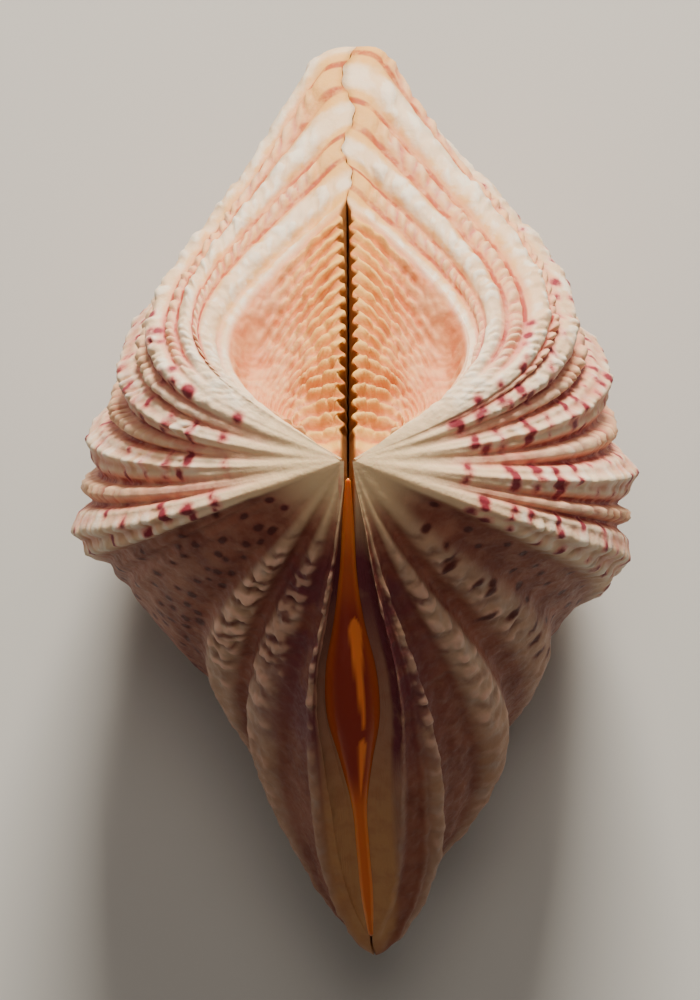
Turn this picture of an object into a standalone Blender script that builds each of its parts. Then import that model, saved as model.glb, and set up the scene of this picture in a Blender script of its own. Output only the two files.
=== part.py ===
"""Bear paw clam, a closed pair of valves with the dried hinge ligament between them.

The shell stands on its ventral rib tips with the beaks up, +Y towards the front end
(the heart-shaped lunule) and +X towards the right-hand valve of the photograph.
Each valve is one solid: a fan of growth lines from the beak, ribbed outside, smooth inside.
"""
import bpy
import bmesh
import numpy as np
from mathutils import Vector

# Overall dimensions, millimetres
HEIGHT = 127.0          # beaks above the ground
BEAK_OUT = 0.4          # each beak's distance from the middle plane
GAP = 0.3               # clearance between the valves along their meeting faces
SCALE = 0.001           # millimetres to metres

# Margin seen from the side, (front y, up z) at rib stations 2 to 22, front edge first
MARGIN = (
    (54.5, 87.5), (61, 82), (68, 77), (76, 71), (84.5, 64), (91.8, 56), (89, 43), (75, 28),
    (54, 15), (29, 6), (3, 2), (-23, 2), (-45, 5), (-62, 11), (-76, 18), (-88, 26),
    (-97, 34), (-104, 41), (-108, 47), (-109, 52), (-105, 57),
)

# Rib guides: station, then where the rib leaves the beak and where it bellies, (out, y, z)
LEFT_RIBS = (
    (2, (34, 20, 122), (33, 26, 100)),
    (3, (40, 23, 122), (38, 28, 100)),
    (5, (49, 24, 121), (42, 34, 90)),
    (7, (66, 22, 121), (43, 31, 72)),
    (9, (73, 6, 121), (53, 31, 34)),
    (11, (75, -7, 123), (73, 14, -14)),
    (13, (77, -28, 122), (79, -3, -18)),
    (15, (46, -38, 114), (66, -34, -2)),
    (17, (26, -40, 108), (48, -44, 32)),
    (19, (8, -40, 108), (42, -54, 52)),
    (21, (1, -42, 108), (16, -68, 82)),
    (22, (0.5, -42, 108), (10, -68, 84)),
)
RIGHT_RIBS = (
    (2, (34, 19, 122), (33, 26, 100)),
    (4, (41, 24, 122), (39, 34, 96)),
    (6, (57, 23, 121), (52, 36, 82)),
    (8, (68, 18, 121), (58, 38, 50)),
    (10, (76, 6, 122), (72, 30, 0)),
    (12, (80, -12, 123), (84, 6, -18)),
    (14, (78, -30, 121), (81, -11, -18)),
    (16, (30, -40, 112), (78, -40, 10)),
    (18, (14, -44, 109), (61, -60, 38)),
    (20, (8, -44, 108), (33, -77, 62)),
    (22, (7, -44, 108), (14, -70, 82)),
)

# Rib heights across each valve: station and height, 1 a crest, 0 the bottom of a furrow
LEFT_CRESTS = (
    (2, 0.75), (2.4, 0.3), (3, 1), (3.9, 0.1), (5, 1), (6, 0.1), (7, 1), (8, 0), (9, 1),
    (10, 0), (11, 1), (12, 0), (13, 1.1), (14, 0.35), (15, 0.45), (16, 0.2), (17, 1),
    (18, 0.1), (19, 1), (20, 0.2), (21, 0.85), (21.6, 0.45), (22, 0.5),
)
RIGHT_CRESTS = (
    (2, 1), (3, 0), (4, 1), (5, 0), (6, 1), (7, 0), (8, 1), (9, 0), (10, 1), (11, 0),
    (12, 1), (13, 0), (14, 1.1), (15, 0.3), (15.4, 0.2), (16, 0.8), (17, 0.1), (18, 1.1),
    (19, 0.1), (19.67, 0.1), (20, 1), (21, 0.25), (22, 0.7),
)
LEFT_SMALL_RIBS = ((8, 0.36), (10, 0.38), (12, 0.45))
RIGHT_SMALL_RIBS = ((7, 0.34), (9, 0.38), (11, 0.38), (13, 0.38))
RIB_RISE = 0.50         # rib height for each millimetre of half rib width
HIND_RISE = 0.66        # the same for the narrow hind ribs
RIB_MOST = 5.2          # highest a rib stands
KNOB = 0.12             # knobs along the hind ribs, share of the rib's height
FRONT_FROM = (0.36, 0.20)  # the front ribs fade out between these shares of the way to the beak
FRONT_LEVEL = 0.78

# Zigzag of the meeting edge: how far each station's tip crosses the middle plane
ZIGZAG = (
    (0, 0), (2, 0.5), (4, 1.4), (7, 1.6), (9, 3.5), (11, 5.5), (13, 6), (15, 4.5),
    (17, 3), (19, 1.6), (21, 0.5), (22, 0), (24, 0),
)
ZIGZAG_FADE = 13.0
EDGE_FROM = (0.45, 0.8) # share of the way to the edge where zigzag and full lip set in

# Fullness of the lips beside the meeting edge, by station
FULL_LIP = (
    (0, 0), (2, 0.3), (5, 2.2), (7, 4.4), (9, 2.4), (14, 1.5), (18, 2.6), (21, 2.6), (22, 0.8), (24, 0),
)
LIP_START = 1.6
LIP_REACH = 16.0
# The same fullness towards the front and hind ends, as a share of it
LIP_ENDWAYS = ((0, 0), (4.5, 0), (6, 0.55), (8, 0.55), (9.5, 0), (18, 0), (20, -0.45), (22, -0.45), (24, 0))

# Lunule, the sunken heart in front of the beaks, and its toothed edge
LUNULE_DEPTH = 6.5
LUNULE_SETBACK = 1.2
BEAK_SETBACK = 0.3      # the beaks stand this much further off the middle
BEAK_LENGTH = (15, 7)   # from full distance to none, measured from the beak's tip
LUNULE_TEETH = 11
TOOTH = 0.5
LUNULE_RIBLET = 0.35

# Ligament: half width at even steps along the hinge line, beaks to hind end
LIGAMENT_HALF = (0, 0.8, 1.4, 2.8, 4.9, 5.2, 3.0, 1.2, 1.0, 0.9, 0)
LIGAMENT_ROOT = 2.8     # how deep its wedge reaches into the groove
LIGAMENT_CROWN = 0.55   # how far it stands up, for each millimetre of half width

# Hollow inside: the same fan drawn in towards the middle of the shell
MIDDLE = (0.0, -6.0, 60.0)
HOLLOW_VENTRAL = 0.90
HOLLOW_HINGE = 0.82

# The middle plane swings to the right towards the hind end
BEND = 5.5
BEND_FROM = -25.0
BEND_LENGTH = 84.0

# Facets
LUNULE_COLUMNS = 22
RIB_COLUMNS = 60
HINGE_COLUMNS = 10
OUTER_ROWS = 19
SEAT_SHARE = 0.4
INNER_ROWS = (0.86, 0.7, 0.5, 0.26, 0.0)


def curve_through(knots, values, at):
    """Smooth curve through values given at knots, read off at the stations asked for."""
    knots = np.asarray(knots, float)
    values = np.asarray(values, float)
    at = np.asarray(at, float)
    flat = values.ndim == 1
    if flat:
        values = values[:, None]
    step = np.diff(knots)[:, None]
    rise = np.diff(values, axis=0) / step
    slope = np.empty_like(values)
    slope[0] = rise[0]
    slope[-1] = rise[-1]
    slope[1:-1] = (rise[:-1] * step[1:] + rise[1:] * step[:-1]) / (step[1:] + step[:-1])
    low = np.clip(np.searchsorted(knots, at, side="right") - 1, 0, len(knots) - 2)
    s = ((at - knots[low]) / step[low, 0])[..., None]
    s = np.clip(s, 0.0, 1.0)
    width = step[low]
    out = (2 * s**3 - 3 * s**2 + 1) * values[low] + (s**3 - 2 * s**2 + s) * width * slope[low]
    out = out + (3 * s**2 - 2 * s**3) * values[low + 1] + (s**3 - s**2) * width * slope[low + 1]
    return out[..., 0] if flat else out


def ease(a, b, x):
    """0 before a, 1 after b, smooth between; a may be the larger."""
    s = np.clip((x - a) / (b - a), 0.0, 1.0)
    return s * s * (3 - 2 * s)


def fan(ribs, w, t):
    """Smooth valve surface: station w around the fan, t from beak 0 to margin 1."""
    stations = [rib[0] for rib in ribs]
    inside = np.clip(w, 2.0, 22.0)
    launch = curve_through(stations, [rib[1] for rib in ribs], inside)
    belly = curve_through(stations, [rib[2] for rib in ribs], inside)
    edge = curve_through(range(2, 23), [(0.0, y, z) for y, z in MARGIN], inside)
    beak = np.array((BEAK_OUT, 0.0, HEIGHT))
    s = t[..., None]
    point = (1 - s)**3 * beak + 3 * s * (1 - s)**2 * launch
    point = point + 3 * s**2 * (1 - s) * belly + s**3 * edge
    size = np.where(w < 2, 0.03 + 0.97 * w / 2, np.where(w > 22, 0.03 + 0.97 * (24 - w) / 2, 1.0))
    return beak + (point - beak) * size[..., None], size


def fan_frame(ribs, w, t):
    """Outward normal of the fan and the width of one station there."""
    t = np.clip(t, 0.03, 0.985)
    across_w = fan(ribs, w + 0.02, t)[0] - fan(ribs, w - 0.02, t)[0]
    along_t = fan(ribs, w, t + 0.005)[0] - fan(ribs, w, t - 0.005)[0]
    normal = np.cross(across_w, along_t)
    length = np.linalg.norm(normal, axis=-1, keepdims=True)
    normal = normal / np.maximum(length, 1e-9)
    width = length[..., 0] / np.maximum(np.linalg.norm(along_t, axis=-1), 1e-9) / 0.04
    return normal, width


def rib_height(crests, small, w, t):
    """Height across the ribs at station w, broad on the crests and narrow in the furrows."""
    stations = np.array([c[0] for c in crests], float)
    heights = np.array([c[1] for c in crests], float)
    low = np.clip(np.searchsorted(stations, w, side="right") - 1, 0, len(crests) - 2)
    s = np.clip((w - stations[low]) / (stations[low + 1] - stations[low]), 0, 1)
    here = heights[low]
    there = heights[low + 1]
    falling = here >= there
    from_top = np.where(falling, s, 1 - s)
    share = (from_top * from_top * (3 - 2 * from_top))**1.5
    high = np.maximum(here, there)
    height = high - (high - np.minimum(here, there)) * share
    for station, high_up in small:
        height = height + high_up * np.exp(-((w - station) / 0.2)**2)
    plain = ease(*FRONT_FROM, t) * ease(2.1, 2.5, w) * ease(6.9, 6.2, w)
    height = height + (FRONT_LEVEL - height) * plain
    knobs = ease(15.5, 16.5, w) * ease(0.15, 0.35, t) * np.maximum(height, 0)
    return height + KNOB * knobs * np.cos(np.pi * OUTER_ROWS * t)


def ligament_half(y):
    """Half width of the ligament's seat at y, nothing beyond its two ends."""
    steps = np.linspace(0.03, 1.0, len(LIGAMENT_HALF))
    return np.interp(y / MARGIN[-1][0], steps, LIGAMENT_HALF, left=0.0, right=0.0)


def hinge_line(y):
    """Height of the straight hinge line behind the beaks."""
    end_y, end_z = MARGIN[-1]
    return HEIGHT + (end_z - HEIGHT) * np.clip(y / end_y, 0, 1)


def part_width(point, w):
    """How far a valve's edge is set back from the middle: lunule gap and ligament seat."""
    y = point[..., 1]
    below = hinge_line(y) - point[..., 2]
    seat = (ligament_half(y) + GAP) * ease(20, 10, below) * np.where(y < -4, 1.0, 0.0)
    lunule = LUNULE_SETBACK * np.maximum(ease(2.3, 1.9, w), ease(23.2, 23.6, w))
    reach = np.linalg.norm(point - np.array((BEAK_OUT, 0.0, HEIGHT)), axis=-1)
    beaks = BEAK_SETBACK * ease(*BEAK_LENGTH, reach)
    return np.maximum(np.maximum(seat, lunule), beaks)


def zigzag(w):
    """Sideways swing of the meeting edge, +X where a left rib tip crosses over."""
    swing = np.interp(w, [z[0] for z in ZIGZAG], [z[1] for z in ZIGZAG])
    teeth = TOOTH * ease(0.1, 0.3, w) * ease(1.98, 1.85, w)
    return -swing * np.cos(np.pi * w) + teeth * np.cos(np.pi * LUNULE_TEETH * w)


def place(point, w, t, side):
    """Set back from the middle, zigzagged, bent and put on its own side, still millimetres."""
    out = point[..., 0]
    near = np.exp(-np.maximum(out, 0) / 9)
    edge = ease(*EDGE_FROM, t)
    full = np.interp(w, [f[0] for f in FULL_LIP], [f[1] for f in FULL_LIP]) * edge
    full = full * (1 - np.exp(-np.maximum(out, 0) / LIP_START)) * np.exp(-(out / LIP_REACH)**2)
    set_out = np.maximum(out, 0) + full + part_width(point, w) * near + GAP / 2
    x = side * set_out + zigzag(w) * edge * np.exp(-np.maximum(out, 0) / ZIGZAG_FADE)
    y = point[..., 1] + full * np.interp(w, [f[0] for f in LIP_ENDWAYS], [f[1] for f in LIP_ENDWAYS])
    x = x + BEND * np.clip((BEND_FROM - y) / BEND_LENGTH, 0, 2)**1.5
    z = np.maximum(point[..., 2], 0.0)
    return np.stack((x, y, z), axis=-1)


def outer_point(side, w, t):
    """Outside of a valve with its ribs, its lunule and its edge."""
    ribs, crests, small = sides(side)
    point, size = fan(ribs, w, t)
    normal, width = fan_frame(ribs, w, t)
    steep = RIB_RISE + (HIND_RISE - RIB_RISE) * ease(14.5, 16.5, w)
    rise = RIB_MOST * np.tanh(steep * width / RIB_MOST)
    body = ease(0.0, 0.06, t) * (1 - ease(0.94, 1.0, t)) * np.where((w > 2) & (w < 22), 1.0, size)
    ribbed = (rib_height(crests, small, np.clip(w, 2, 22), t) - 0.7) * rise
    reach = np.linalg.norm(point - np.array((BEAK_OUT, 0.0, HEIGHT)), axis=-1)
    sunk = LUNULE_DEPTH * ease(2.0, 1.5, w) * np.minimum(1.0, reach / 40) * (1 - ease(0.6, 1.0, t))
    riblets = LUNULE_RIBLET * ease(2.0, 1.8, w) * ease(0.4, 0.7, t) * (1 - ease(0.93, 1.0, t))
    riblets = riblets * np.cos(np.pi * LUNULE_TEETH * w)
    lift = ribbed * body * ease(1.7, 2.0, w) - sunk + riblets
    return place(point + normal * lift[..., None], w, t, side)


def hollow_share(w):
    """How far the inner bowl is drawn in, more along the hinge than at the free edge."""
    free = ease(3.0, 8.0, w) * ease(21.0, 16.0, w)
    return HOLLOW_HINGE + (HOLLOW_VENTRAL - HOLLOW_HINGE) * free


def inner_point(side, w, t):
    """Smooth inner bowl."""
    middle = np.array(MIDDLE)
    point = fan(sides(side)[0], w, t)[0]
    point = middle + (point - middle) * hollow_share(w)[..., None]
    x = side * (np.maximum(point[..., 0], 0) + GAP / 2)
    bend = BEND * np.clip((BEND_FROM - point[..., 1]) / BEND_LENGTH, 0, 2)**1.5
    return np.stack((x + bend, point[..., 1], np.maximum(point[..., 2], 0.0)), axis=-1)


def rim_point(side, w):
    """Meeting face part way in from the edge: the two valves share it, a gap apart."""
    edge = fan(sides(side)[0], w, np.ones_like(w))[0]
    middle = np.array(MIDDLE)
    deep = middle + (edge - middle) * hollow_share(w)[..., None]
    point = edge + (deep - edge) * SEAT_SHARE
    x = side * GAP / 2 + zigzag(w) * 0.35
    bend = BEND * np.clip((BEND_FROM - point[..., 1]) / BEND_LENGTH, 0, 2)**1.5
    return np.stack((x + bend, point[..., 1], point[..., 2]), axis=-1)


def sides(side):
    """Guides, crests and small ribs of one valve; side is -1 left or +1 right."""
    if side < 0:
        return LEFT_RIBS, LEFT_CRESTS, LEFT_SMALL_RIBS
    return RIGHT_RIBS, RIGHT_CRESTS, RIGHT_SMALL_RIBS


def rolled_grid(columns, rows):
    """A grid ready to be rolled into a closed body, with each corner's column and row."""
    bm = bmesh.new()
    bmesh.ops.create_grid(bm, x_segments=columns, y_segments=rows, size=0.5)
    corners = [(v, round((v.co.x + 0.5) * columns), round((v.co.y + 0.5) * rows)) for v in bm.verts]
    return bm, corners


def finish(bm, name, parts, material):
    """Weld the rolled grid shut, face it outwards and keep it as one named object."""
    bmesh.ops.triangulate(bm, faces=bm.faces[:], quad_method="FIXED")
    bmesh.ops.remove_doubles(bm, verts=bm.verts[:], dist=2e-6)
    bmesh.ops.dissolve_degenerate(bm, dist=1e-6, edges=bm.edges[:])
    bmesh.ops.recalc_face_normals(bm, faces=bm.faces[:])
    if bm.calc_volume(signed=True) < 0:
        bmesh.ops.reverse_faces(bm, faces=bm.faces[:])
    mesh = bpy.data.meshes.new(name)
    bm.to_mesh(mesh)
    bm.free()
    mesh.materials.append(material)
    for face in mesh.polygons:
        face.use_smooth = True
    thing = bpy.data.objects.new(name, mesh)
    parts.objects.link(thing)
    return thing


def valve(name, side, parts, material):
    """One valve: outside rows, edge, meeting face and inner bowl on one rolled grid."""
    w = np.concatenate((
        np.linspace(0, 2, LUNULE_COLUMNS + 1)[:-1],
        np.linspace(2, 22, RIB_COLUMNS + 1)[:-1],
        np.linspace(22, 24, HINGE_COLUMNS + 1),
        [0.0],
    ))
    rows = [outer_point(side, w, np.full_like(w, t)) for t in np.linspace(0, 1, OUTER_ROWS + 1)]
    rows.append(rim_point(side, w))
    rows.append(inner_point(side, w, np.ones_like(w)))
    rows.extend(inner_point(side, w, np.full_like(w, t)) for t in INNER_ROWS)
    rows[0][:] = rows[0][0]
    rows[-1][:] = rows[-1][0]
    bm, corners = rolled_grid(len(w) - 1, len(rows) - 1)
    for corner, column, row in corners:
        corner.co = Vector(rows[row][column % (len(w) - 1)]) * SCALE
    return finish(bm, name, parts, material)


def ligament(parts, material):
    """The horny ligament: a crowned strip over a wedge that fills the groove behind the beaks."""
    around = 10
    y = MARGIN[-1][0] * np.linspace(0.05, 0.96, 20)
    half = ligament_half(y)
    half[0] = 0.0
    half[-1] = 0.0
    top = hinge_line(y)
    bm, corners = rolled_grid(around, len(y) - 1)
    for corner, column, row in corners:
        turn = 2 * np.pi * (column % around) / around
        reach = half[row]
        x = reach * np.cos(turn)
        up = LIGAMENT_CROWN * reach * np.sin(turn)
        if up < -1e-6:
            x = reach * np.sign(np.cos(turn)) * (1 + np.sin(turn)) * 0.8
            up = LIGAMENT_ROOT * np.sin(turn) * min(1.0, reach / 2.0)
        bend = BEND * max((BEND_FROM - y[row]) / BEND_LENGTH, 0)**1.5
        corner.co = Vector((x + bend, y[row], top[row] + up)) * SCALE
    return finish(bm, "ligament", parts, material)


def shade(name, colour, roughness):
    """A plain material of one colour."""
    material = bpy.data.materials.new(name)
    material.use_nodes = True
    surface = material.node_tree.nodes["Principled BSDF"]
    surface.inputs["Base Color"].default_value = (*colour, 1.0)
    surface.inputs["Roughness"].default_value = roughness
    return material


for old in list(bpy.data.objects):
    bpy.data.objects.remove(old, do_unlink=True)

collection = bpy.data.collections.new("bear_paw_clam")
bpy.context.scene.collection.children.link(collection)

pieces = [
    valve("left_valve", -1, collection, shade("left_valve", (0.78, 0.66, 0.55), 0.6)),
    valve("right_valve", 1, collection, shade("right_valve", (0.80, 0.68, 0.56), 0.6)),
    ligament(collection, shade("ligament", (0.36, 0.12, 0.04), 0.35)),
]

# Put the whole shell's ground outline square over the origin
everything = np.array([v.co for piece in pieces for v in piece.data.vertices])
low = everything.min(axis=0)
high = everything.max(axis=0)
shift = Vector((-(low[0] + high[0]) / 2, -(low[1] + high[1]) / 2, -low[2]))
for piece in pieces:
    for corner in piece.data.vertices:
        corner.co += shift
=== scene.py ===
import math

import bmesh
import bpy
import numpy as np
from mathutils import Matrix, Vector, noise


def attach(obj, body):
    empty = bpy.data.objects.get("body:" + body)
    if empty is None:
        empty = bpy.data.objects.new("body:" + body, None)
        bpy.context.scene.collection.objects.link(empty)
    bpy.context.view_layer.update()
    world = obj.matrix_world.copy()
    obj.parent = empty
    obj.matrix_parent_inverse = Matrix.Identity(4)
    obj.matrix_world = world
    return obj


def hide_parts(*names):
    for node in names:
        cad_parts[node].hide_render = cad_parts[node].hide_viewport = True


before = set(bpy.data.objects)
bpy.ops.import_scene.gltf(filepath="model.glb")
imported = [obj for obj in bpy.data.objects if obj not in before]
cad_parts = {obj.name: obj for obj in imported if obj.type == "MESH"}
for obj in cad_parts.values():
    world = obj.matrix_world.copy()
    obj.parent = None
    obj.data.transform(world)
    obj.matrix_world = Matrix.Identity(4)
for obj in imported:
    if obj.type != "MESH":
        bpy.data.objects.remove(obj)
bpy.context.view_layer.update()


# Left valve
# The real valve is one piece of chalky aragonite, laid down edge by edge from the beak outwards,
# so every rib is a curve that leaves the beak and ends on the meeting edge. It is made the same
# way: a grid is laid along those curves, lifted into ribs, and closed by its rim and inner bowl.

# lengths are in millimetres, x and y from the middle between the beaks and z from the ground
beak_height = 127.0
beak_out = 0.4                   # from the middle plane to a beak
valve_gap = 0.3                  # between the edges of the two valves
middle_at = (-1.276, 8.559)      # where the beaks' middle stands on the ground
# the ribs fan out from the beak at stations; the lunule lies before them, the hinge after them
fan_start = 2
fan_end = 22
fan_whole = 24
# y and z of the meeting edge, one pair a station of the fan
margin = (
    (54.5, 87.5), (61, 82), (68, 77), (76, 71), (84.5, 64), (91.8, 56), (89, 43), (75, 28),
    (54, 15), (29, 6), (3, 2), (-23, 2), (-45, 5), (-62, 11), (-76, 18), (-88, 26),
    (-97, 34), (-104, 41), (-108, 47), (-109, 52), (-105, 57),
)
# station of a rib and the two points that bend its curve between the beak and the edge
left_ribs = (
    (2, (34, 20, 122), (33, 26, 100)),
    (3, (40, 23, 122), (38, 28, 100)),
    (5, (49, 24, 121), (42, 34, 90)),
    (7, (66, 22, 121), (43, 31, 72)),
    (9, (73, 6, 121), (53, 31, 34)),
    (11, (75, -7, 123), (73, 14, -14)),
    (13, (77, -28, 122), (79, -3, -18)),
    (15, (46, -38, 114), (66, -34, -2)),
    (17, (26, -40, 108), (48, -44, 32)),
    (19, (8, -40, 108), (42, -54, 52)),
    (21, (1, -42, 108), (16, -68, 82)),
    (22, (0.5, -42, 108), (10, -68, 84)),
)
left_crests = (2, 3, 5, 7, 9, 11, 13, 17, 19, 21)
# station and height of every crest, small rib and furrow, 1 a crest and 0 a furrow's floor
left_profile = (
    (2, 0.75), (2.35, 0.3), (3, 1), (3.65, 0.02), (4.0, 0.42), (4.35, 0.02), (5, 1), (5.66, 0),
    (6, 0.42), (6.34, 0), (7, 1), (7.6, 0), (8, 0.6), (8.35, 0.05), (9, 1), (9.6, 0),
    (10, 0.5), (10.35, 0), (11, 1), (11.62, 0), (12, 0.45), (12.38, 0), (13, 1.1),
    (13.25, 1.0), (13.85, 0.4), (15, 0.45), (16.1, 0.2), (17, 1), (18, 0.1), (19, 1),
    (20, 0.2), (20.5, 0.25), (21, 0.85), (21.5, 0.45), (22, 0.5),
)
# station and millimetres: the edge's zigzag, and the lip that swells just outside it
zigzag_swing = (
    (0, 0), (2, 0.5), (4, 1.4), (7, 1.6), (9, 3.5), (11, 5.5), (13, 6), (15, 4.5),
    (17, 3), (19, 1.6), (21, 0.5), (22, 0), (24, 0),
)
full_lip = (
    (0, 0), (2, 0.3), (5, 2.2), (7, 4.4), (9, 2.4), (14, 1.5), (18, 2.6), (21, 2.6),
    (22, 0.8), (24, 0),
)
# share of the lip that also swells forwards, or backwards where it is below 0
lip_endways = (
    (0, 0), (4.5, 0), (6, 0.55), (8, 0.55), (9.5, 0), (18, 0), (20, -0.45), (22, -0.45), (24, 0),
)
# half width of the groove for the ligament, at even steps from the beaks to the hinge's end
ligament_half = (0, 0.8, 1.4, 2.8, 4.9, 5.2, 3.0, 1.2, 1.0, 0.9, 0)
shell_middle = (0.0, -6.0, 60.0)
lunule_teeth = 36
riblets_per_station = 2.15


def smooth_curve(knots, values, at):
    """Smooth curve through values given at knots, read at the stations asked for."""
    knots = np.asarray(knots, float)
    values = np.asarray(values, float)
    at = np.asarray(at, float)
    flat = values.ndim == 1
    if flat:
        values = values[:, None]
    step = np.diff(knots)[:, None]
    rise = np.diff(values, axis=0) / step
    slope = np.empty_like(values)
    slope[0] = rise[0]
    slope[-1] = rise[-1]
    slope[1:-1] = (rise[:-1] * step[1:] + rise[1:] * step[:-1]) / (step[1:] + step[:-1])
    low = np.clip(np.searchsorted(knots, at, side="right") - 1, 0, len(knots) - 2)
    s = np.clip((at - knots[low]) / step[low, 0], 0.0, 1.0)[..., None]
    width = step[low]
    out = (2 * s**3 - 3 * s**2 + 1) * values[low] + (s**3 - 2 * s**2 + s) * width * slope[low]
    out = out + (3 * s**2 - 2 * s**3) * values[low + 1] + (s**3 - s**2) * width * slope[low + 1]
    return out[..., 0] if flat else out


def ease(a, b, x):
    """0 before a, 1 after b, smooth between; a may be the larger."""
    s = np.clip((x - a) / (b - a), 0.0, 1.0)
    return s * s * (3 - 2 * s)


def table(pairs, at):
    """Straight-line reading of a table of pairs."""
    return np.interp(at, [p[0] for p in pairs], [p[1] for p in pairs])


def growth_surface(ribs, w, t):
    """Smooth valve: station w around the fan, t from the beak 0 to the meeting edge 1."""
    stations = [rib[0] for rib in ribs]
    inside = np.clip(w, fan_start, fan_end)
    launch = smooth_curve(stations, [rib[1] for rib in ribs], inside)
    belly = smooth_curve(stations, [rib[2] for rib in ribs], inside)
    edge_points = [(0.0, y, z) for y, z in margin]
    edge = smooth_curve(range(fan_start, fan_end + 1), edge_points, inside)
    beak = np.array((beak_out, 0.0, beak_height))
    s = t[..., None]
    point = (1 - s)**3 * beak + 3 * s * (1 - s)**2 * launch
    point = point + 3 * s**2 * (1 - s) * belly + s**3 * edge
    # before the fan and after it the outline shrinks towards the beak
    least = 0.03
    before = least + (1 - least) * w / fan_start
    after = least + (1 - least) * (fan_whole - w) / (fan_whole - fan_end)
    size = np.where(w < fan_start, before, np.where(w > fan_end, after, 1.0))
    return beak + (point - beak) * size[..., None], size


def surface_frame(ribs, w, t):
    """Outward direction and the width of one station."""
    t = np.clip(t, 0.03, 0.985)
    step_w = 0.02
    step_t = 0.005
    across = growth_surface(ribs, w + step_w, t)[0] - growth_surface(ribs, w - step_w, t)[0]
    along = growth_surface(ribs, w, t + step_t)[0] - growth_surface(ribs, w, t - step_t)[0]
    outward = np.cross(across, along)
    length = np.linalg.norm(outward, axis=-1)
    width = length / np.maximum(np.linalg.norm(along, axis=-1), 1e-9) / (2 * step_w)
    return outward / np.maximum(length, 1e-9)[..., None], width


def fbm(points, scale, octaves=3, seed=0.0):
    """Cloudy noise about -1 to 1 at points in millimetres, features scale millimetres across."""
    flat = points.reshape(-1, 3) / scale + seed
    value = np.array([noise.fractal(Vector(p), 0.8, 2.1, octaves) for p in flat])
    return value.reshape(points.shape[:-1])


def rib_height(profile, crests, w, t):
    """Height across the ribs: even waves by the beak, then broad crests over tight furrows."""
    stations = np.array([c[0] for c in profile], float)
    heights = np.array([c[1] for c in profile], float)
    low = np.clip(np.searchsorted(stations, w, side="right") - 1, 0, len(profile) - 2)
    s = np.clip((w - stations[low]) / (stations[low + 1] - stations[low]), 0, 1)
    here = heights[low]
    there = heights[low + 1]
    from_top = np.where(here >= there, s, 1 - s)
    share = (from_top * from_top * (3 - 2 * from_top))**1.8
    high = np.maximum(here, there)
    grown = high - (high - np.minimum(here, there)) * share
    near = np.min(np.abs(w[..., None] - np.array(crests)), axis=-1)
    young = 0.45 + 0.40 * np.cos(np.pi * np.minimum(near, 1.0))
    grown = young + (grown - young) * ease(0.05, 0.30, t)
    # the front ribs only stand out some way from the beak
    plain_level = 0.78
    plain = ease(0.36, 0.20, t) * ease(2.1, 2.5, w) * ease(6.9, 6.2, w)
    return grown + (plain_level - grown) * plain


def hinge_line(y):
    """Height of the straight hinge line behind the beaks."""
    return beak_height + (margin[-1][1] - beak_height) * np.clip(y / margin[-1][0], 0, 1)


def seat_half(y):
    """Half width of the groove for the ligament at y."""
    first_share = 0.03
    first_y = -3.2
    steps = np.linspace(first_share, 1.0, len(ligament_half))
    place = np.clip(y / margin[-1][0], first_share, 1.0)
    half = np.maximum(smooth_curve(steps, ligament_half, place), 0)
    return half * np.where(y < first_y, 1.0, 0.0)


def from_beak(point):
    """Distance of points from the beak."""
    return np.linalg.norm(point - np.array((beak_out, 0.0, beak_height)), axis=-1)


def set_back(point, w):
    """How far the edge stands off the middle: along the lunule and beside the ligament."""
    lunule_open = 1.2
    beak_open = 0.3
    y = point[..., 1]
    below = hinge_line(y) - point[..., 2]
    seat = (seat_half(y) + 0.1) * ease(20, 10, below) * np.where(y < -4, 1.0, 0.0)
    lunule = lunule_open * np.maximum(ease(2.3, 1.9, w), ease(23.2, 23.6, w))
    return np.maximum(np.maximum(seat, lunule), beak_open * ease(15, 7, from_beak(point)))


def edge_swing(w, out):
    """Sideways zigzag of the edge and the fine teeth of the lunule, all fading outwards."""
    jag = 0.3
    tooth = 0.80
    zigzag = -table(zigzag_swing, w) * np.cos(np.pi * w) * np.exp(-out / 13)
    jagged = jag * np.cos(2 * np.pi * riblets_per_station * w) * np.exp(-out / 3)
    jagged = jagged * ease(2.2, 3.0, w) * ease(21.0, 20.0, w)
    teeth = tooth * ease(0.08, 0.25, w) * ease(1.99, 1.85, w) * np.exp(-out / 4)
    return zigzag + jagged + teeth * np.cos(np.pi * lunule_teeth / 2 * w)


def bend_of(y):
    """The middle plane swings to the right towards the hind end."""
    bend = 5.5
    bend_from = -25.0
    bend_long = 84.0
    return bend * np.clip((bend_from - y) / bend_long, 0, 2)**1.5


def stand(point, w, t, side):
    """Set a point back from the middle, zigzag it and stand it on its own side."""
    out = np.maximum(point[..., 0], 0)
    edge = ease(0.45, 0.8, t)
    lip = table(full_lip, w) * edge * (1 - np.exp(-out / 1.6)) * np.exp(-(out / 16)**2)
    x = side * (out + lip + set_back(point, w) * np.exp(-out / 9) + valve_gap / 2)
    x = x + edge_swing(w, out) * edge + bend_of(point[..., 1])
    y = point[..., 1] + lip * table(lip_endways, w)
    return np.stack((x, y, np.maximum(point[..., 2], 0.0)), axis=-1)


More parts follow.
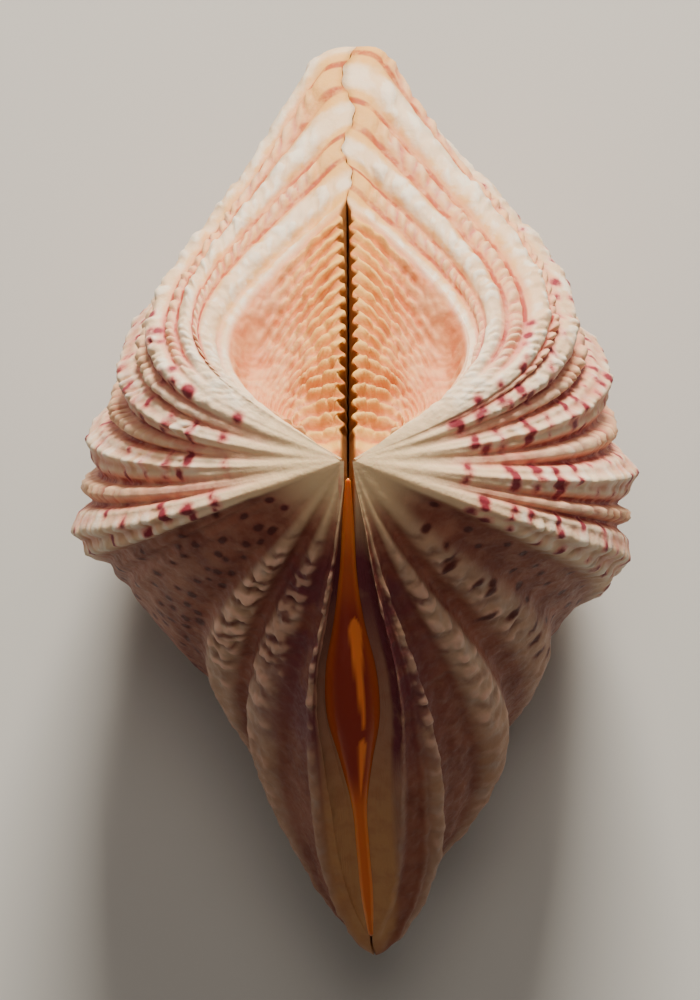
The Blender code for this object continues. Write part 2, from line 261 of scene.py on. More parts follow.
def growth_edges(t, seed, fine, coarse, shape="shingle"):
    """Old growth edges, unevenly spaced: shingles that drop behind each edge, beads or blocks."""
    count = 260
    chance = np.random.default_rng(seed)
    gaps = fine + (coarse - fine) * chance.random(count)**1.6
    edges = np.concatenate(([0.0], np.cumsum(gaps)))
    weight = 0.35 + 0.65 * chance.random(count + 1)
    i = np.clip(np.searchsorted(edges, t), 1, count)
    share = np.clip((t - edges[i - 1]) / (edges[i] - edges[i - 1]), 0, 1)
    if shape == "bead":
        return weight[i] * (1.4 * np.sin(np.pi * share)**0.75 - 0.85)
    if shape == "block":
        return weight[i] * (1.4 * ease(0, 0.46, share) * ease(1, 0.54, share) - 0.80)
    return weight[i] * (1.6 * share**1.3 * ease(1.0, 0.86, share) - 0.6)


def side_riblets(near, width, w, t):
    """Three riblets on each side rib, hardly any on the smooth ribs in front."""
    wave = np.cos(2 * np.pi * riblets_per_station * near)
    strong = 0.05 + 0.50 * ease(7.0, 10.0, w) * ease(14.8, 14.0, w)
    riblet = wave * strong * ease(0.05, 0.24, t) * np.minimum(1, width / 6)
    riblet = riblet * ease(2.1, 2.6, w) * ease(15.2, 14.4, w)
    between = (0.5 - 0.5 * wave) * ease(7.5, 9.0, w) * ease(14.8, 14.2, w)
    return riblet, {"groove": between * ease(0.1, 0.35, t)}


def arched_edges(point, age, wander, crest, last, width, w, t):
    """Growth edges that arch over the ribs and end in knobs on the crests."""
    sides = ease(7.0, 9.5, w)
    fine = growth_edges(age, 11, 0.013, 0.028) * (0.07 + 0.10 * sides) * ease(0.08, 0.26, t)
    coarse = growth_edges(age + 0.005 * wander, 23, 0.021, 0.044, "bead") * ease(0.08, 0.24, t)
    uneven = 0.65 + 0.8 * np.clip(fbm(point, 11.0, 2, 17.0), -0.8, 1)
    on_crest = (0.80 + 0.12 * sides) * crest**2 * ease(15.6, 14.8, w)
    knobs = coarse * (0.12 + on_crest) * uneven * np.minimum(1, width / 5)
    lumpy = np.clip(fbm(point, 3.4, 3, 41.0), -1, 1) * ease(0.07, 0.2, t)
    knobs = knobs + (0.50 - 0.16 * sides) * lumpy * (0.35 + 0.65 * crest)
    rests = growth_edges(age, 41, 0.075, 0.15) * 0.80 * ease(0.2, 0.4, t)
    relief = fine + knobs + rests * (0.5 + 0.5 * crest)
    calm = 1 - 0.7 * ease(last + 0.5, last + 1.0, w)
    relief = relief * ease(1.9, 2.4, w) * ease(21.9, 21.2, w) * calm
    return relief, {"knob": np.clip(0.5 + knobs, 0, 1)}


def small_rib_beads(age, wander, near, height, w, t):
    """The small ribs between the large ones break into beads."""
    small = ease(0.36, 0.12, np.abs(near - 1.0)) * (1 - ease(0.5, 0.8, height))
    small = small * ease(0.2, 0.4, t)
    bead = growth_edges(age + 0.004 * wander, 83, 0.022, 0.034, "bead")
    relief = 1.15 * bead * small * ease(2.4, 2.8, w) * ease(14.0, 13.0, w)
    return relief, {
        "bead": np.clip(0.5 + bead, 0, 1) * small,
        "bead_gap": np.clip(0.3 - 1.3 * bead, 0, 1) * small,
    }


def hind_blocks(side, point, age, wander, height, width, w, t):
    """Rounded blocks with gaps between on the hind ribs, lower further down and on the right."""
    block = growth_edges(age + 0.004 * wander, 67, 0.030, 0.056, "block")
    lump = np.clip(fbm(point, 3.4, 2, 21.0), -1, 1)
    on_rib = ease(15.5, 16.2, w) * ease(22.9, 22.3, w) * np.clip(height * 1.6 - 0.45, 0, 1)
    right_share = 0.75
    fading = (1 - 0.8 * ease(0.40, 0.60, t)) * (right_share if side > 0 else 1.0)
    blocks = (0.62 * block * np.minimum(1, width / 5) + lump) * fading * ease(0.05, 0.16, t)
    hind = ease(14.5, 16.0, w) * ease(0.08, 0.24, t)
    relief = (blocks * on_rib * ease(22.1, 21.9, w) + 0.3 * lump) * hind
    top = np.clip(0.35 + 0.5 * block + 0.6 * lump, 0, 1) * (0.4 + 0.6 * fading)
    return relief, {
        "gap": ease(0.0, -0.45, block) * on_rib * fading * ease(0.08, 0.18, t),
        "block": top * on_rib * hind,
    }


def lunule_scales(point, wander, reach, from_edge, w, t):
    """The sunk lunule, with riblets that run in from its toothed edge and break into scales."""
    deepest = 6.5
    station_long = margin[0][0] / fan_start
    in_lunule = ease(2.0, 1.85, w)
    sunk = deepest * ease(2.0, 1.5, w) * np.minimum(1.0, reach / 40) * (1 - ease(0.6, 1.0, t))
    level = w + (point[..., 1] / station_long - w) * (1 - ease(0.5, 1.5, w))
    scale = np.cos(np.pi * lunule_teeth / 2 * (level + 0.012 * wander))
    lumps = fbm(point * np.array((0.8, 1.3, 1.3)), 3.8, 2, 7.0)
    broken = ease(-0.5, 0.5, fbm(point, 6.5, 2, 31.0) + ease(9, 2, from_edge))
    # each riblet is a row of rounded scales, and the rows are out of step
    row = np.clip(np.round(level * lunule_teeth / 4), 0, lunule_teeth).astype(int)
    shift = np.random.default_rng(5).random(lunule_teeth + 1)[row]
    along_row = from_edge / 100 + 0.03 * shift + 0.003 * wander
    scale_tops = growth_edges(along_row, 57, 0.022, 0.040, "bead") * ease(1.0, 3.5, from_edge)
    scales = 0.9 * scale * broken + 0.8 * np.abs(lumps) * (0.4 + scale)
    scales = scales + 1.3 * scale_tops * (0.6 + 0.4 * scale)
    scales = scales * ease(20, 9, from_edge) * in_lunule
    cobbles = np.abs(fbm(point, 4.0, 2, 5.0))**0.7 * ease(3, 9, from_edge)
    flakes = 1.10 * cobbles * in_lunule * ease(40, 22, from_edge)
    relief = (scales + flakes) * ease(3, 12, reach) * (1 - 0.6 * ease(0.95, 1.0, t)) - sunk
    # painted shade with some rust colour: where the lunule lies low between its scales
    deep = np.clip(0.22 - lumps - scale * 0.5 - scale_tops, 0, 1)
    return relief, {
        "lunule": ease(2.05, 1.9, w),
        "scale": in_lunule * (0.5 + 0.5 * scale) * ease(19, 3, from_edge),
        "fleck_and_shade": in_lunule * deep * ease(24, 9, from_edge),
        "cobble": in_lunule * np.clip(cobbles, 0, 1),
    }


def lift_ribs(side, ribs, profile, crests, w, t):
    """The outside with its ribs, riblets, growth edges, knobs, beads, blocks and lunule."""
    point, size = growth_surface(ribs, w, t)
    outward, width = surface_frame(ribs, w, t)
    height = rib_height(profile, crests, np.clip(w, fan_start, fan_end), t)
    crest = np.clip(height, 0, 1)
    near = np.min(np.abs(w[..., None] - np.array(crests)), axis=-1)
    last = max(c for c in crests if c <= 14)      # the last rib before the hind slope
    reach = from_beak(point)
    from_edge = np.maximum(point[..., 0], 0)
    y = point[..., 1]

    # from furrow to crest: steeper on the sides and the hind ribs, and never past the most
    most_rise = 5.2
    mean_height = 0.7
    steep = 0.38 + 0.14 * ease(7.0, 9.0, w) + 0.16 * ease(14.5, 16.5, w)
    rise = most_rise * np.tanh(steep * width / most_rise)
    in_fan = np.where((w > fan_start) & (w < fan_end), 1.0, size)
    body = ease(0.0, 0.12, t) * (1 - ease(0.95, 1.0, t)) * in_fan
    open_edge = 1 - ease(0.965, 1.0, t)
    total = (height - mean_height) * rise * body * ease(1.7, 2.0, w)

    # the growth edges follow the age, which is t made wavy
    wander = fbm(point, 8.0, 3, 3.0)
    age = t + 0.010 * wander + 0.014 * fbm(point, 30.0, 2, 9.0) - 0.008 * crest
    parts = (
        side_riblets(near, width, w, t),
        arched_edges(point, age, wander, crest, last, width, w, t),
        small_rib_beads(age, wander, near, height, w, t),
        hind_blocks(side, point, age, wander, height, width, w, t),
    )
    painted = {}
    for relief, marks in parts:
        total = total + relief * open_edge
        painted.update(marks)
    relief, marks = lunule_scales(point, wander, reach, from_edge, w, t)
    total = total + relief + 0.30 * fbm(point, 6.0, 3, 1.0) * body * ease(22.3, 21.3, w)
    painted.update(marks)

    # y and width of the smooth band beside the ligament, the nymph
    nymph_wide = (
        (-109, 3.0), (-90, 5.0), (-75, 5.4), (-55, 4.2), (-40, 3.4), (-20, 2.0),
    )
    in_nymph = ease(1.3, 0.9, from_edge / table(nymph_wide, y))
    painted.update({
        "height": height,
        "growth": t,
        "front": ease(9.0, 6.5, w) * ease(0.42, 0.72, t),
        "edge": ease(10, 1.0, from_edge),
        "reach": reach / 100,
        "hind": ease(last + 0.35, last + 0.8, w),
        "nymph": ease(20.6, 21.6, w) * in_nymph * ease(-24, -38, y),
        "behind": np.clip(-y / 110, 0, 1),
        "beside": ease(26, 8, from_edge) * ease(16.5, 18.5, w),
        "fan": ease(21.9, 22.2, w),
    })
    return stand(point + outward * total[..., None], w, t, side), painted, point


def bowl_share(w):
    """How far the inner bowl is drawn in, more along the hinge than at the free edge."""
    return 0.82 + 0.08 * ease(3.0, 8.0, w) * ease(21.0, 16.0, w)


def inner_bowl(side, ribs, w, t):
    """The smooth inside, drawn in from the outside's plain form."""
    middle = np.array(shell_middle)
    point = middle + (growth_surface(ribs, w, t)[0] - middle) * bowl_share(w)[..., None]
    x = side * (np.maximum(point[..., 0], 0) + valve_gap / 2) + bend_of(point[..., 1])
    return np.stack((x, point[..., 1], np.maximum(point[..., 2], 0.0)), axis=-1)


def meeting_face(side, ribs, w, inwards):
    """The face between the outer edge and the bowl; its teeth and its groove fade inwards."""
    edge = growth_surface(ribs, w, np.ones_like(w))[0]
    middle = np.array(shell_middle)
    deep = middle + (edge - middle) * bowl_share(w)[..., None]
    point = edge + (deep - edge) * inwards
    fade = np.maximum(1 - inwards / 0.4, (1 - inwards / 0.75) * ease(2.3, 1.9, w))
    fade = np.maximum(fade, 0.0)
    x = side * (valve_gap / 2 + set_back(edge, w) * fade) + bend_of(point[..., 1])
    x = x + edge_swing(w, 0.0) * (0.35 + 0.65 * fade) * (1 - inwards)
    return np.stack((x, point[..., 1], np.maximum(point[..., 2], 0.0)), axis=-1)


def spot_field(point, w_row, t_rows, spots):
    """Coloured smudges: full strength in the middle of each and fading at its edge."""
    squarish = 2.4
    half_rows = 16
    half_columns = 30
    field = np.zeros(point.shape[:2])
    for at_w, at_t, across, along, strength in spots:
        i = int(np.clip(np.argmin(np.abs(w_row[:-1] - at_w)), 1, len(w_row) - 3))
        j = int(np.clip(np.argmin(np.abs(t_rows - at_t)), 1, len(t_rows) - 2))
        rows = slice(max(0, j - half_rows), j + half_rows + 1)
        columns = slice(max(0, i - half_columns), i + half_columns + 1)
        outwards = point[j + 1, i] - point[j - 1, i]
        outwards = outwards / np.linalg.norm(outwards)
        sideways = point[j, i + 1] - point[j, i - 1]
        sideways = sideways - outwards * (outwards @ sideways)
        sideways = sideways / np.linalg.norm(sideways)
        off = point[rows, columns] - point[j, i]
        gone = np.abs(off @ sideways / across)**squarish + np.abs(off @ outwards / along)**squarish
        spot = strength * np.clip(1.0 - 0.5 * gone**(1 / squarish), 0, 1)
        field[rows, columns] = np.maximum(field[rows, columns], spot)
    return field


def close_and_place(bm, name, finish):
    """Weld the seams, turn the faces outwards and put the piece into the scene."""
    bmesh.ops.remove_doubles(bm, verts=bm.verts[:], dist=1e-6)
    bmesh.ops.dissolve_degenerate(bm, dist=1e-7, edges=bm.edges[:])
    bmesh.ops.recalc_face_normals(bm, faces=bm.faces[:])
    if bm.calc_volume(signed=True) < 0:
        bmesh.ops.reverse_faces(bm, faces=bm.faces[:])
    mesh = bpy.data.meshes.new(name)
    bm.to_mesh(mesh)
    bm.free()
    mesh.materials.append(finish)
    mesh.shade_smooth()
    piece = bpy.data.objects.new(name, mesh)
    bpy.context.scene.collection.objects.link(piece)
    return piece


def make_valve(name, side, ribs, profile, crests, spots, finish):
    """Lay the grid, close it, and give every corner what its colours are read from."""
    # columns across the lunule, the ribs and the hinge, and back to the first one
    w_row = np.concatenate((
        np.linspace(0, fan_start, 111)[:-1], np.linspace(fan_start, fan_end, 263)[:-1],
        np.linspace(fan_end, fan_whole, 41), [0.0],
    ))
    t_rows = np.concatenate((np.linspace(0, 0.5, 131)[:-1], np.linspace(0.5, 1, 101)))
    face_steps = (0.1, 0.2, 0.4, 0.7, 1.0)
    bowl_steps = (0.9, 0.75, 0.55, 0.3, 0.0)
    w, t = np.meshgrid(w_row, t_rows)
    outside, painted, smooth_point = lift_ribs(side, ribs, profile, crests, w, t)
    painted["spot"] = spot_field(smooth_point, w_row, t_rows, spots)
    rows = list(outside)
    rows.extend(meeting_face(side, ribs, w_row, step) for step in face_steps)
    rows.extend(inner_bowl(side, ribs, w_row, np.full_like(w_row, step)) for step in bowl_steps)
    rows[0][:] = rows[0][0]
    rows[-1][:] = rows[-1][0]
    outer_rows = len(t_rows)

    bm = bmesh.new()
    across = len(w_row) - 1
    bmesh.ops.create_grid(bm, x_segments=across, y_segments=len(rows) - 1, size=0.5)
    layers = {key: bm.verts.layers.float.new(key) for key in painted}
    inner = bm.verts.layers.float.new("inner")
    shift = Vector((*middle_at, 0))
    for v in bm.verts:
        column = round((v.co.x + 0.5) * across) % across
        row = round((v.co.y + 0.5) * (len(rows) - 1))
        v.co = (Vector(rows[row][column]) + shift) * 0.001
        from_row = min(row, outer_rows - 1)
        for key, layer in layers.items():
            v[layer] = float(painted[key][from_row][column])
        v[inner] = 1.0 if row >= outer_rows else 0.0
    return close_and_place(bm, name, finish)


def node_tools(tree):
    """Two short names, for adding a node to a material and for joining two sockets."""
    def put(kind, **settings):
        node = tree.nodes.new(kind)
        for key, value in settings.items():
            setattr(node, key, value)
        return node

    def join(source, target):
        tree.links.new(source, target)

    return put, join


def shell_finish(name):
    """Chalky cream shell: pink furrows, crimson spots, peach lunule, plum by the ligament, part
    stained and part painted shade.
    """
    material = bpy.data.materials.new(name)
    material.use_nodes = True
    tree = material.node_tree
    put, join = node_tools(tree)
    surface = tree.nodes["Principled BSDF"]
    where = put("ShaderNodeTexCoord").outputs["Object"]

    def read(attribute):
        return put("ShaderNodeAttribute", attribute_name=attribute).outputs["Fac"]

    def cloud(scale, detail=3.0, roughness=0.55):
        node = put("ShaderNodeTexNoise")
        node.inputs["Scale"].default_value = scale
        node.inputs["Detail"].default_value = detail
        node.inputs["Roughness"].default_value = roughness
        join(where, node.inputs["Vector"])
        return node.outputs["Fac"]

    def span(value, low, high, to_low=0.0, to_high=1.0):
        node = put("ShaderNodeMapRange", interpolation_type="SMOOTHSTEP")
        join(value, node.inputs["Value"])
        node.inputs["From Min"].default_value = low
        node.inputs["From Max"].default_value = high
        node.inputs["To Min"].default_value = to_low
        node.inputs["To Max"].default_value = to_high
        return node.outputs["Result"]

    def combine(a, b, how="ADD"):
        node = put("ShaderNodeMath", operation=how)
        for socket, value in zip(node.inputs, (a, b)):
            if isinstance(value, (int, float)):
                socket.default_value = value
            else:
                join(value, socket)
        return node.outputs["Value"]

    def paint(share, under, over):
        node = put("ShaderNodeMix", data_type="RGBA", blend_type="MIX")
        join(share, node.inputs["Factor"])
        for socket, value in ((node.inputs["A"], under), (node.inputs["B"], over)):
            if isinstance(value, tuple):
                socket.default_value = (*value, 1.0)
            else:
                join(value, socket)
        return node.outputs["Result"]

    def times(*shares):
        result = shares[0]
        for share in shares[1:]:
            result = combine(result, share, "MULTIPLY")
        return result

    height = read("height")
    growth = read("growth")
    reach = read("reach")
    front = read("front")
    edge = read("edge")
    block = read("block")
    beside = read("beside")
    nymph = read("nymph")
    broad = cloud(28.0)
    blotch = cloud(95.0, 4.0)
    fine_blotch = cloud(260.0, 4.0)
    grain = cloud(900.0, 4.0, 0.6)

    # cream crests, whiter on the knobs, warmer by the beak and lifted there by painted light
    cream = (0.83, 0.56, 0.34)
    pale_cream = (0.89, 0.69, 0.48)
    chalk = (0.93, 0.81, 0.65)
    honey_and_light = (0.92, 0.66, 0.38)
    body = paint(span(broad, 0.35, 0.65), cream, pale_cream)
    body = paint(span(read("knob"), 0.50, 0.80, 0.0, 0.85), body, chalk)
    # painted light over the beak's own warm cream: paler round the beak, lifting its shaded wedge
    body = paint(span(reach, 0.34, 0.05), body, honey_and_light)

    # pink in the furrows and between riblets, golden in front, beads with crimson between
    rose = (0.70, 0.23, 0.17)
    light_rose = (0.82, 0.41, 0.26)
    amber = (0.80, 0.36, 0.14)
    gold = (0.84, 0.47, 0.17)
    deep_gold_and_glow = (0.84, 0.43, 0.11)
    brick = (0.64, 0.17, 0.12)
    apricot = (0.88, 0.53, 0.29)
    bead_red = (0.58, 0.13, 0.10)
    uneven = times(combine(blotch, 0.5, "SUBTRACT"), 0.6)
    pink = paint(span(fine_blotch, 0.38, 0.62), rose, light_rose)
    pink = paint(front, pink, amber)
    golden = times(front, span(fine_blotch, 0.42, 0.60), span(height, 0.98, 0.45), 0.9)
    body = paint(golden, body, gold)
    in_furrow = span(combine(height, uneven), 0.62, 0.12, 0.0, 0.85)
    body = paint(times(in_furrow, span(growth, 0.05, 0.16)), body, pink)
    between = times(read("groove"), span(blotch, 0.35, 0.6, 0.15, 0.65))
    body = paint(between, body, brick)
    body = paint(times(read("bead"), 0.70), body, apricot)
    body = paint(times(read("bead_gap"), 0.90), body, bead_red)
    # deep gold at the front furrows' ends by the edge: their own gold plus a painted glow of lit
    # crevices
    furrow_ends_and_glow = times(front, edge, span(height, 1.0, 0.5, 0.25, 0.9))
    body = paint(furrow_ends_and_glow, body, deep_gold_and_glow)

    # crimson thread lines at the furrows' floors
    crimson = (0.32, 0.012, 0.02)
    rust = (0.44, 0.07, 0.025)
    thread = times(span(height, 0.18, 0.04), span(blotch, 0.34, 0.52, 0.25, 1.0))
    thread = times(thread, span(growth, 0.12, 0.22), span(fine_blotch, 0.36, 0.54, 0.35, 1.0))
    thread = times(thread, span(front, 0.0, 1.0, 0.90, 0.92))
    body = paint(thread, body, paint(front, crimson, rust))

    # hind slope darker, its own mauve-brown plus painted shade in the furrows; blocks pale on top
    dark_earth_and_shade = (0.20, 0.045, 0.027)
    red_earth_and_shade = (0.31, 0.095, 0.057)
    light_earth_and_shade = (0.44, 0.185, 0.115)
    pale_pink = (0.88, 0.54, 0.40)
    brown = (0.15, 0.045, 0.025)
    dark_brown = (0.15, 0.032, 0.022)
    hind = times(read("hind"), span(reach, 0.05, 0.22))
    earth_and_shade = paint(span(blotch, 0.40, 0.60), dark_earth_and_shade, red_earth_and_shade)
    earth_and_shade = paint(span(fine_blotch, 0.42, 0.62, 0.0, 0.30), earth_and_shade, light_earth_and_shade)
    # painted shade: the hind slope darkened, most in its furrows, over its own mauve-brown
    body = paint(times(hind, span(height, 1.0, 0.30, 0.50, 0.95)), body, earth_and_shade)
    tops = times(span(block, 0.18, 0.60), hind, span(blotch, 0.32, 0.58, 0.35, 0.95))
    body = paint(times(tops, span(beside, 0.4, 1.0, 1.0, 0.6)), body, pale_pink)
    # painted shade: the hind slope darker still towards its lower end
    body = paint(times(hind, span(growth, 0.30, 0.80, 0.0, 0.45)), body, brown)
    gaps = times(read("gap"), span(blotch, 0.38, 0.56, 0.15, 0.90))
    body = paint(gaps, body, dark_brown)

    # plum along the ligament, partly stained and partly painted shade,
    # and the narrow smooth pale band beside it
    plum_and_shade = (0.15, 0.028, 0.040)
    tan = (0.34, 0.17, 0.11)
    straw = (0.46, 0.235, 0.10)
    umber = (0.30, 0.11, 0.05)
    behind = read("behind")
    stain_and_shade = times(beside, span(behind, 0.12, 0.22), span(behind, 0.66, 0.50))
    mottle = combine(span(blotch, 0.36, 0.56, 0.10, 0.92), times(read("fan"), 0.5))
    stain_and_shade = times(stain_and_shade, mottle, span(block, 0.5, 0.2, 0.45, 1.0))
    # painted shade with some staining: dark plum beside the ligament, less on the block tops
    body = paint(stain_and_shade, body, plum_and_shade)
    band = paint(span(behind, 0.45, 0.75), tan, straw)
    band = paint(span(fine_blotch, 0.4, 0.65, 0.0, 0.35), band, umber)
    body = paint(times(nymph, span(behind, 0.22, 0.5, 0.35, 0.95)), body, band)

    # crimson smudges, maroon on the hind slope, paler and torn at their edges
    blush = (0.74, 0.20, 0.18)
    sepia = (0.24, 0.06, 0.04)
    wine = (0.22, 0.006, 0.030)
    maroon = (0.09, 0.012, 0.010)
    torn = times(combine(cloud(420.0, 3.0), 0.5, "SUBTRACT"), 1.3)
    smudge = combine(read("spot"), times(torn, 0.5))
    body = paint(span(smudge, 0.15, 0.62, 0.0, 0.70), body, paint(hind, blush, sepia))
    body = paint(span(smudge, 0.42, 0.82, 0.0, 0.92), body, paint(hind, wine, maroon))

    # the lunule: salmon, darker between its scales as rust plus painted shade, orange-yellow on
    # the teeth
    salmon = (0.74, 0.24, 0.10)
    light_salmon = (0.82, 0.36, 0.16)
    peach = (0.88, 0.48, 0.25)
    orange = (0.86, 0.33, 0.08)
    rust_brown_and_shade = (0.50, 0.11, 0.025)
    yellow = (0.92, 0.55, 0.13)
    flesh = paint(span(blotch, 0.35, 0.65), salmon, light_salmon)
    flesh = paint(span(read("cobble"), 0.25, 0.6, 0.0, 0.42), flesh, peach)
    flesh = paint(times(edge, 0.8), flesh, orange)
    flesh = paint(times(read("fleck_and_shade"), 0.9), flesh, rust_brown_and_shade)
    flesh = paint(times(read("scale"), 0.75), flesh, yellow)
    body = paint(read("lunule"), body, flesh)

    # the meeting faces and the bowl, a brown that is painted shade in the gap between the valves
    inside_brown_shade = (0.40, 0.17, 0.05)
    body = paint(read("inner"), body, inside_brown_shade)
    join(body, surface.inputs["Base Color"])

    # dry and chalky, a little light coming through, with fine pits
    join(span(grain, 0.3, 0.7, 0.46, 0.68), surface.inputs["Roughness"])
    surface.inputs["Specular IOR Level"].default_value = 0.25
    surface.inputs["Subsurface Weight"].default_value = 0.12
    surface.inputs["Subsurface Radius"].default_value = (1.0, 0.40, 0.20)
    surface.inputs["Subsurface Scale"].default_value = 0.0009
    bump = put("ShaderNodeBump")
    bump.inputs["Strength"].default_value = 0.4
    bump.inputs["Distance"].default_value = 0.0004
    pits = combine(grain, times(fine_blotch, 1.6))
    join(times(pits, span(nymph, 0.0, 1.0, 1.0, 0.3)), bump.inputs["Height"])
    join(bump.outputs["Normal"], surface.inputs["Normal"])
    return material


def scatter(seed, crests, slopes, striped):
    """Smudges in growth bands across the crests, a staggered field on the hind slope, stripes."""
    chance = np.random.default_rng(seed)
    spots = []

    def between(low, high):
        return low + (high - low) * chance.random()

    def shaken(value, by):
        return value + by * chance.normal()

    # one smudge on each riblet at most; on the ribs in front they end halfway to the edge
    riblets = (-0.44, -0.02, 0.42)
    for crest, often in crests:
        at = 0.08
        last_age = 0.86 if crest > 7.5 else 0.5
        while at < last_age:
            at = at + between(0.026, 0.060)
            band = between(0.55, 1.25)
            for off in riblets:
                if chance.random() < often * 0.85:
                    across = between(0.85, 1.50)
                    along = between(0.85, 1.50)
                    strength = band * between(0.85, 1.20)
                    where = shaken(at, 0.003)
                    spots.append((shaken(crest + off, 0.05), where, across, along, strength))
    # every other row is shifted, and the marks grow towards the edge
    for low, high in slopes:
        for row, at in enumerate(np.arange(0.10, 0.8, 0.042)):
            step = 0.24 + 0.055 / at
            grow = 0.95 + 0.6 * at
            for w in np.arange(low + 0.5 * step * ((row + 1) % 2), high, step):
                if chance.random() < 0.78:
                    across = between(0.70, 1.05) * grow
                    along = between(0.85, 1.35) * grow
                    where = shaken(at, 0.006)
                    at_w = shaken(w, 0.16 * step)
                    spots.append((at_w, where, across, along, between(0.95, 1.25)))
    stripe_along = 0.95
    for rib in striped:
        for at in np.arange(0.20, 0.56, 0.036):
            across = between(1.5, 2.5)
            where = shaken(at, 0.007)
            spots.append((shaken(rib, 0.12), where, across, stripe_along, between(0.8, 1.2)))
    return spots


# each crest with how often it is marked, then the slopes and ribs that are spotted
left_spots = scatter(4, ((7, 0.5), (9, 1.0), (11, 1.0), (13, 0.8)), ((13.9, 16.0),), ())
left_valve = make_valve(
    "left_shell", -1, left_ribs, left_profile, left_crests, left_spots,
    shell_finish("left shell"))
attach(left_valve, "root")
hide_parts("left_valve")


# Right valve
# The twin of the left one in the same chalky shell, with its own ribs: their tips fall between
# the left valve's, so that the two edges lock. Its big hind rib overhangs a flatter layer.
right_ribs = (
    (2, (34, 19, 122), (33, 26, 100)),
    (4, (41, 24, 122), (39, 34, 96)),
    (6, (57, 23, 121), (52, 36, 82)),
    (8, (68, 18, 121), (58, 38, 50)),
    (10, (76, 6, 122), (72, 30, 0)),
    (12, (80, -12, 123), (84, 6, -18)),
    (14, (78, -30, 121), (81, -11, -18)),
    (16, (30, -40, 112), (78, -40, 10)),
    (18, (14, -44, 109), (61, -60, 38)),
    (20, (8, -44, 108), (33, -77, 62)),
    (22, (7, -44, 108), (14, -70, 82)),
)
right_profile = (
    (2, 1), (2.7, 0.02), (3, 0.4), (3.34, 0.02), (4, 1), (4.66, 0), (5, 0.42), (5.34, 0),
    (6, 1), (6.7, 0), (7, 0.38), (7.3, 0), (8, 1), (8.65, 0), (9, 0.42), (9.35, 0), (10, 1),
    (10.65, 0), (11, 0.42), (11.35, 0), (12, 1), (12.65, 0), (13, 0.42), (13.35, 0), (14, 1.1),
    (14.3, 1.0), (14.9, 0.35), (15.4, 0.2), (16, 0.8), (17, 0.05), (18, 1.1), (18.7, 0.3),
    (19.3, 0.05), (19.72, 0.08), (20, 1), (20.5, 0.6), (21, 0.25), (21.5, 0.25), (22, 0.7),
)
right_crests = (2, 4, 6, 8, 10, 12, 14, 16, 18, 20, 22)
right_spots = scatter(
    9, ((6, 0.4), (8, 1.0), (10, 1.1), (12, 1.1), (14, 1.0)), ((14.9, 15.8),), (16,))
right_valve = make_valve(
    "right_shell", 1, right_ribs, right_profile, right_crests, right_spots,
    shell_finish("right shell"))
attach(right_valve, "root")
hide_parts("right_valve")


# Ligament
# A strip of horny, half-clear brown material that joins the two valves behind the beaks and
# springs them open. Dried, it is glossy and red-brown, with clearer orange along its split skin,
# where a painted glow stands for the light that comes through.
def clearness_and_glow(x, y):
    """How much light comes through the horn: two long flames, the front end and the whole tail."""
    # y where a flame starts and stops, x at both ends, half its width
    flames = ((-34.5, -57.0, 1.2, 2.2, 1.7), (-60.0, -73.0, 1.6, 0.3, 1.1))
    clear_glow = 0.0
    for start, stop, from_x, to_x, wide in flames:
        s = (y - start) / (stop - start)
        if -0.08 < s < 1:
            rounded = math.sqrt(max(0.0, min(1.0, (s + 0.08) * 8)))
            half = wide * rounded * (1 - 0.75 * max(s, 0))
            off = abs(x - (from_x + (to_x - from_x) * s))
            clear_glow = max(clear_glow, min(1.0, max(0.0, (half - off) / 0.45)))
    ends = 0.30 * ease(-34, -24, y) + 0.65 * ease(-24, -10, y) + 0.55 * ease(-66, -76, y)
    rim = 0.35 * ease(0.55, 1.0, abs(x) / max(float(seat_half(np.array(y))), 0.5))
    return min(1.0, max(clear_glow, ends + rim))


def make_ligament(name, finish):
    """A crowned strip over a wedge, wide in the middle and drawn out to a thin tail."""
    around = 48
    over_seat = 0.45
    crown = 0.5
    wedge_deep = 2.8
    y_rows = margin[-1][0] * np.linspace(0.035, 0.995, 181)
    half = np.maximum(seat_half(y_rows) + over_seat, 0.05)
    half[0] = 0.0
    half[-1] = 0.0
    bm = bmesh.new()
    bmesh.ops.create_grid(bm, x_segments=around, y_segments=len(y_rows) - 1, size=0.5)
    clear_glow = bm.verts.layers.float.new("clear_glow")
    for v in bm.verts:
        column = round((v.co.x + 0.5) * around) % around
        row = round((v.co.y + 0.5) * (len(y_rows) - 1))
        turn = 2 * math.pi * column / around
        wide = half[row]
        y = y_rows[row]
        x = wide * math.cos(turn)
        up = crown * wide * max(math.sin(turn), 0)**1.5
        if math.sin(turn) < -1e-6:
            x = 0.9 * wide * math.copysign(1, math.cos(turn)) * (1 + math.sin(turn))
            up = wedge_deep * math.sin(turn) * min(1.0, wide / 2.0)
        v[clear_glow] = float(clearness_and_glow(x, y))
        x = x + bend_of(y) + middle_at[0]
        v.co = Vector((x, y + middle_at[1], hinge_line(y) + up)) * 0.001
    return close_and_place(bm, name, finish)


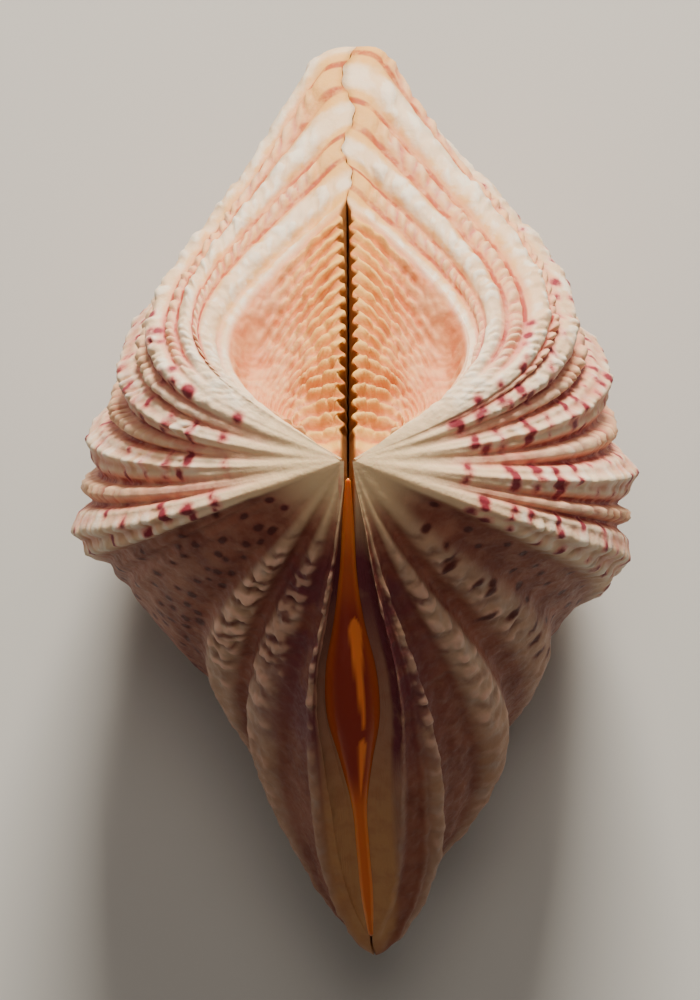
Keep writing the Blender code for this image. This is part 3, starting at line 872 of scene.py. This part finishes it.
def horn_finish(name):
    """Glossy red-brown horn, half see-through, with orange streaks and an orange tail, partly a
    painted glow of light.
    """
    red_brown = (0.30, 0.028, 0.012, 1.0)
    glowing_clear_orange = (0.95, 0.24, 0.04, 1.0)
    material = bpy.data.materials.new(name)
    material.use_nodes = True
    tree = material.node_tree
    put, join = node_tools(tree)
    surface = tree.nodes["Principled BSDF"]
    shade = put("ShaderNodeAttribute", attribute_name="clear_glow")
    # painted glow: orange where light comes through the horn, over the clearer horn's own colour
    ramp = put("ShaderNodeMix", data_type="RGBA")
    join(shade.outputs["Fac"], ramp.inputs["Factor"])
    ramp.inputs["A"].default_value = red_brown
    ramp.inputs["B"].default_value = glowing_clear_orange
    join(ramp.outputs["Result"], surface.inputs["Base Color"])
    # fine fibres along the strip
    stretch = put("ShaderNodeMapping")
    stretch.inputs["Scale"].default_value = (1.0, 0.15, 1.0)
    join(put("ShaderNodeTexCoord").outputs["Object"], stretch.inputs["Vector"])
    fibres = put("ShaderNodeTexNoise")
    fibres.inputs["Scale"].default_value = 700.0
    fibres.inputs["Detail"].default_value = 3.0
    join(stretch.outputs["Vector"], fibres.inputs["Vector"])
    bump = put("ShaderNodeBump")
    bump.inputs["Strength"].default_value = 0.35
    bump.inputs["Distance"].default_value = 0.0003
    join(fibres.outputs["Fac"], bump.inputs["Height"])
    join(bump.outputs["Normal"], surface.inputs["Normal"])
    surface.inputs["Roughness"].default_value = 0.24
    surface.inputs["Subsurface Weight"].default_value = 0.5
    surface.inputs["Subsurface Radius"].default_value = (1.0, 0.25, 0.05)
    surface.inputs["Subsurface Scale"].default_value = 0.003
    return material


strip = make_ligament("ligament_strip", horn_finish("horn"))
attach(strip, "root")
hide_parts("ligament")


# Floor, light and camera
# A plain pale floor, a soft key light low over the front end, weak ones above and behind,
# and a camera straight above the beaks, as the photograph was taken.
floor_mesh = bpy.data.meshes.new("floor")
bm = bmesh.new()
bmesh.ops.create_grid(bm, x_segments=1, y_segments=1, size=3.0)
bm.to_mesh(floor_mesh)
bm.free()
floor = bpy.data.objects.new("floor", floor_mesh)
bpy.context.scene.collection.objects.link(floor)
floor_finish = bpy.data.materials.new("floor")
floor_finish.use_nodes = True
floor_surface = floor_finish.node_tree.nodes["Principled BSDF"]
floor_surface.inputs["Base Color"].default_value = (0.62, 0.62, 0.60, 1)
floor_surface.inputs["Roughness"].default_value = 0.8
floor_mesh.materials.append(floor_finish)


def soft_light(name, place, target, size, power, colour):
    """A square soft light that looks at a point."""
    lamp = bpy.data.lights.new(name, "AREA")
    lamp.size = size
    lamp.energy = power
    lamp.color = colour
    thing = bpy.data.objects.new(name, lamp)
    thing.location = place
    thing.rotation_euler = (Vector(target) - Vector(place)).to_track_quat("-Z", "Y").to_euler()
    bpy.context.scene.collection.objects.link(thing)


soft_light(
    "key", (0.08, 1.15, 0.68), (0, 0, 0.07), size=0.4, power=39.0, colour=(1.0, 0.92, 0.80))
soft_light(
    "top", (0.02, 0.40, 1.25), (0, 0, 0.06), size=0.5, power=3.2, colour=(1.0, 0.90, 0.79))
soft_light(
    "fill", (-0.4, -0.7, 1.1), (0, 0, 0.06), size=1.0, power=0.75, colour=(1.0, 0.86, 0.74))

sky = bpy.data.worlds.new("studio")
sky.use_nodes = True
sky_light = sky.node_tree.nodes["Background"]
sky_light.inputs["Color"].default_value = (1.0, 0.91, 0.83, 1)
sky_light.inputs["Strength"].default_value = 0.09
bpy.context.scene.world = sky

sensor = 36.0
lens_for_sensor = 4.277          # the shell fills the photograph's frame from one metre up
aim = (0.0004, -0.0082)          # metres from the beaks' middle to the frame's middle
lens = bpy.data.cameras.new("camera")
lens.sensor_fit = "VERTICAL"
lens.sensor_height = sensor
lens.lens = sensor * lens_for_sensor
lens.clip_start = 0.05
camera = bpy.data.objects.new("camera", lens)
camera.location = (middle_at[0] * 0.001 + aim[0], middle_at[1] * 0.001 + aim[1], 1.0)
bpy.context.scene.collection.objects.link(camera)
bpy.context.scene.camera = camera
